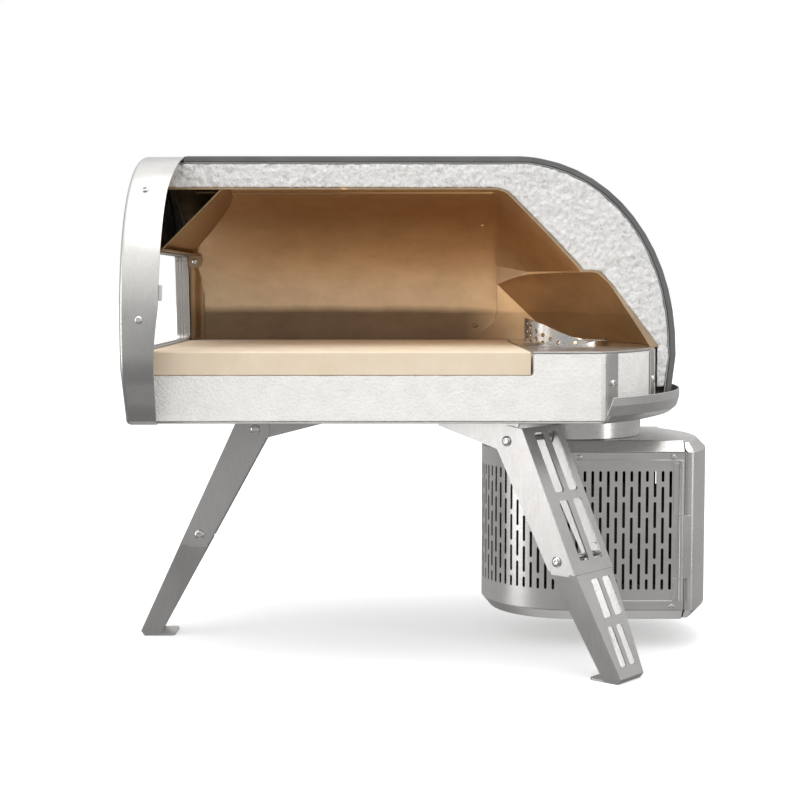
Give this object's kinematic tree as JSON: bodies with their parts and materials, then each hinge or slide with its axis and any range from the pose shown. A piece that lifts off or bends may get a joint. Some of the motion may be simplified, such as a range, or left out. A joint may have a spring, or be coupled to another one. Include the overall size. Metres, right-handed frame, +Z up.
{
  "type": "portable wood fired pizza oven",
  "caption": "Cut-open portable wood fired pizza oven with insulated dome, stone floor, flame tube, hanging perforated burner with rear hatch, and folding channel legs.",
  "frame": {"origin": "on the ground under the middle of the outer box", "axes": "+X from the mouth towards the burner, +Y away from the cut side, +Z up"},
  "size_m": [0.5631, 0.4338, 0.4758],
  "materials": {
    "brushed_steel": "fine brushed stainless steel",
    "leg_steel": "satin stainless steel",
    "pin_steel": "polished steel",
    "heated_steel": "stainless steel tinted gold and brown by heat",
    "dark_steel": "dark heat-blued steel",
    "silicone": "matt grey silicone",
    "ceramic_wool": "fluffy white ceramic wool",
    "insulation_board": "pressed fibre board, finely pitted",
    "stone": "cream baking stone"
  },
  "bodies": {
    "oven": {"outer_shell": "brushed_steel", "baffle_bracket": "brushed_steel", "front_bezel": "brushed_steel", "mouth_frame": "brushed_steel", "burner_floor_plate": "brushed_steel", "base_tray": "brushed_steel", "floor_strap_1": "brushed_steel", "floor_strap_2": "brushed_steel", "floor_strap_3": "brushed_steel", "floor_strap_4": "brushed_steel", "flame_tube": "brushed_steel", "burner_neck": "brushed_steel", "burner_cap": "brushed_steel", "burner_wall": "brushed_steel", "burner_pan": "brushed_steel", "ash_tray": "brushed_steel", "hatch_knuckle_bottom": "brushed_steel", "hatch_knuckle_top": "brushed_steel", "hatch_hinge_pin": "brushed_steel", "leg_bracket_front": "leg_steel", "hip_pin_front": "pin_steel", "leg_bracket_rear_near": "leg_steel", "hip_pin_rear_near": "pin_steel", "leg_bracket_rear_far": "leg_steel", "hip_pin_rear_far": "pin_steel", "silicone_jacket": "silicone", "dome_insulation": "ceramic_wool", "inner_liner": "heated_steel", "front_baffle": "heated_steel", "bezel_ear": "dark_steel", "pizza_stone": "stone", "base_insulation": "insulation_board", "fire_box": "dark_steel", "fuel_grate": "dark_steel"},
    "upper_front": {"upper_leg_front": "leg_steel", "knee_pin_front": "pin_steel"},
    "lower_front": {"lower_leg_front": "leg_steel"},
    "upper_rear_near": {"upper_leg_rear_near": "leg_steel", "knee_pin_rear_near": "pin_steel"},
    "lower_rear_near": {"lower_leg_rear_near": "leg_steel"},
    "upper_rear_far": {"upper_leg_rear_far": "leg_steel", "knee_pin_rear_far": "pin_steel"},
    "lower_rear_far": {"lower_leg_rear_far": "leg_steel"},
    "hatch": {"hatch_door": "brushed_steel", "hatch_liner": "dark_steel", "hatch_latch": "dark_steel", "hatch_knuckle_door": "brushed_steel"}
  },
  "joints": [
    {"name": "hip_front", "type": "hinge", "parent": "oven", "child": "upper_front", "pos_m": [-0.16485, 0, 0.2084], "axis": [0, -1, 0], "range_deg": [0, 95]},
    {"name": "knee_front", "type": "hinge", "parent": "upper_front", "child": "lower_front", "pos_m": [-0.22075, 0, 0.104], "axis": [0, -1, 0], "range_deg": [0, 175]},
    {"name": "hip_rear_near", "type": "hinge", "parent": "oven", "child": "upper_rear_near", "pos_m": [0.09385, -0.1266, 0.2084], "axis": [0.6528, 0.7576, 0], "range_deg": [0, 97]},
    {"name": "knee_rear_near", "type": "hinge", "parent": "upper_rear_near", "child": "lower_rear_near", "pos_m": [0.1362, -0.16309, 0.104], "axis": [0.6528, 0.7576, 0], "range_deg": [0, 175]},
    {"name": "hip_rear_far", "type": "hinge", "parent": "oven", "child": "upper_rear_far", "pos_m": [0.09385, 0.1266, 0.2084], "axis": [-0.6528, 0.7576, 0], "range_deg": [0, 97]},
    {"name": "knee_rear_far", "type": "hinge", "parent": "upper_rear_far", "child": "lower_rear_far", "pos_m": [0.1362, 0.16309, 0.104], "axis": [-0.6528, 0.7576, 0], "range_deg": [0, 175]},
    {"name": "hatch_hinge", "type": "hinge", "parent": "oven", "child": "hatch", "pos_m": [0.24505, -0.0866, 0.115], "axis": [0, 0, -1], "range_deg": [0, 110]}
  ]
}
